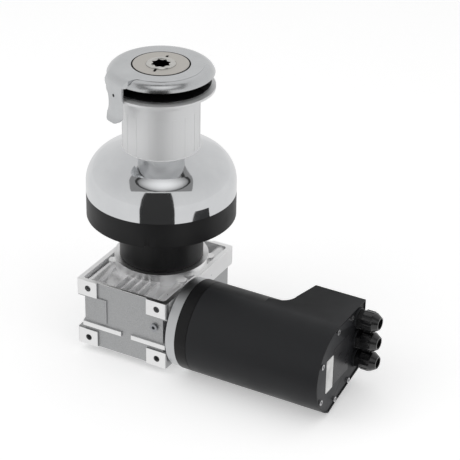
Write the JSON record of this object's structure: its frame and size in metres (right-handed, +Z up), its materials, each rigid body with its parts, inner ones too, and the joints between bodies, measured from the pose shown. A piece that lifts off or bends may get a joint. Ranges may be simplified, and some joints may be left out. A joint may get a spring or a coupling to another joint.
{
  "type": "electric sailboat winch",
  "caption": "Electric self-tailing sailboat winch: polished drum with line jaws and arm over a deck base, with a cast worm gearbox and a motor with cable glands below it.",
  "frame": {"origin": "winch axis at the underside of the base ring, which is the deck surface", "axes": "+Z up along the winch axis, +X from the gearbox to the motor, the gearbox front foot face looks to -Y"},
  "size_m": [0.4, 0.2013, 0.3764],
  "materials": {
    "black_anodised": "satin black hard anodising",
    "stainless_fasteners": "plain stainless steel",
    "stem_metal": "machined and anodised",
    "polished_drum": "mirror polished stainless steel",
    "polished_cover": "polished cast stainless steel",
    "gear_steel": "cut and hardened steel",
    "ground_steel": "ground steel",
    "bronze": "machined bronze",
    "cage_plastic": "moulded bearing plastic",
    "jaw_plastic": "moulded black plastic",
    "brushed_cap": "fine brushed stainless steel",
    "bright_socket": "bright machined steel",
    "seal_rubber": "black nitrile rubber",
    "cast_aluminium": "bead blasted die casting with machined pads",
    "machined_aluminium": "machined die casting",
    "plug_steel": "blackened steel",
    "motor_paint": "charcoal powder coat",
    "magnet": "sintered ferrite",
    "lamination": "varnished laminations and windings",
    "copper": "turned copper",
    "insulation": "moulded insulation",
    "end_plate_paint": "dark grey paint",
    "gland_plastic": "black polyamide",
    "nickel": "nickel plated brass"
  },
  "bodies": {
    "frame": {"base_flange": "black_anodised", "neck": "black_anodised", "neck_bolts_upper": "stainless_fasteners", "neck_bolts_lower": "stainless_fasteners", "centre_stem": "stem_metal", "stem_bolts": "stainless_fasteners", "thrust_washer": "cage_plastic", "bearing_spacer": "cage_plastic", "idler_pins": "ground_steel", "spindle_bush": "bronze", "spindle_lower_bearing": "ground_steel", "self_tailing_arm": "polished_cover", "arm_screws": "stainless_fasteners", "line_stripper": "jaw_plastic", "top_cap": "brushed_cap", "cap_ring": "seal_rubber", "gearbox_housing": "cast_aluminium", "gearbox_cover": "machined_aluminium", "cover_bolts": "stainless_fasteners", "output_bearings": "ground_steel", "output_seals": "seal_rubber", "worm_bearings": "ground_steel", "worm_end_cap": "machined_aluminium", "oil_plugs": "plug_steel", "input_flange": "machined_aluminium", "flange_bolts": "stainless_fasteners", "motor_front_ring": "black_anodised", "motor_housing": "motor_paint", "motor_magnets": "magnet", "brush_gear": "insulation", "motor_bearings": "ground_steel", "motor_contactor": "insulation", "end_plate": "end_plate_paint", "end_plate_screws": "stainless_fasteners", "gland_bodies": "gland_plastic", "gland_nuts": "gland_plastic", "gland_seals": "seal_rubber", "gland_locknuts": "nickel"},
    "rotor": {"worm_shaft": "gear_steel", "motor_shaft": "ground_steel", "motor_armature": "lamination", "commutator": "copper"},
    "spindle": {"worm_wheel": "bronze", "wheel_hub": "ground_steel", "main_spindle": "ground_steel", "spindle_gear": "gear_steel", "handle_socket": "bright_socket"},
    "idler_left": {"idler_gear_left": "bronze"},
    "idler_right": {"idler_gear_right": "bronze"},
    "drum": {"drum": "polished_drum", "drum_ring_gear": "gear_steel", "ring_gear_screws": "stainless_fasteners", "jaw_screws": "stainless_fasteners", "jaw_carrier": "jaw_plastic", "upper_jaw": "jaw_plastic", "jaw_spring": "ground_steel"},
    "cages": {"drum_rollers": "ground_steel", "roller_cages": "cage_plastic"},
    "jaw": {"lower_jaw": "jaw_plastic"}
  },
  "joints": [
    {"name": "motor_spin", "type": "hinge", "parent": "frame", "child": "rotor", "pos_m": [0, -0.049, -0.114], "axis": [1, 0, 0], "continuous": true},
    {"name": "spindle_spin", "type": "hinge", "parent": "frame", "child": "spindle", "pos_m": [0, 0, 0], "axis": [0, 0, 1], "continuous": true},
    {"name": "idler_left_spin", "type": "hinge", "parent": "frame", "child": "idler_left", "pos_m": [-0.05, 0, 0], "axis": [0, 0, 1], "continuous": true},
    {"name": "idler_right_spin", "type": "hinge", "parent": "frame", "child": "idler_right", "pos_m": [0.05, 0, 0], "axis": [0, 0, 1], "continuous": true},
    {"name": "drum_spin", "type": "hinge", "parent": "frame", "child": "drum", "pos_m": [0, 0, 0], "axis": [0, 0, 1], "continuous": true},
    {"name": "cage_spin", "type": "hinge", "parent": "frame", "child": "cages", "pos_m": [0, 0, 0], "axis": [0, 0, 1], "continuous": true},
    {"name": "jaw_slide", "type": "slide", "parent": "drum", "child": "jaw", "axis": [0, 0, -1], "range_m": [0, 0.0025], "stiffness_N_per_m": 4000, "springref_m": -0.002, "deforming": ["jaw_spring"]}
  ],
  "couplings": [
    {"joint": "spindle_spin", "follows": "motor_spin", "ratio": -0.04},
    {"joint": "idler_left_spin", "follows": "motor_spin", "ratio": 0.026667},
    {"joint": "idler_right_spin", "follows": "motor_spin", "ratio": 0.026667},
    {"joint": "drum_spin", "follows": "motor_spin", "ratio": 0.01},
    {"joint": "cage_spin", "follows": "motor_spin", "ratio": 0.005365}
  ]
}
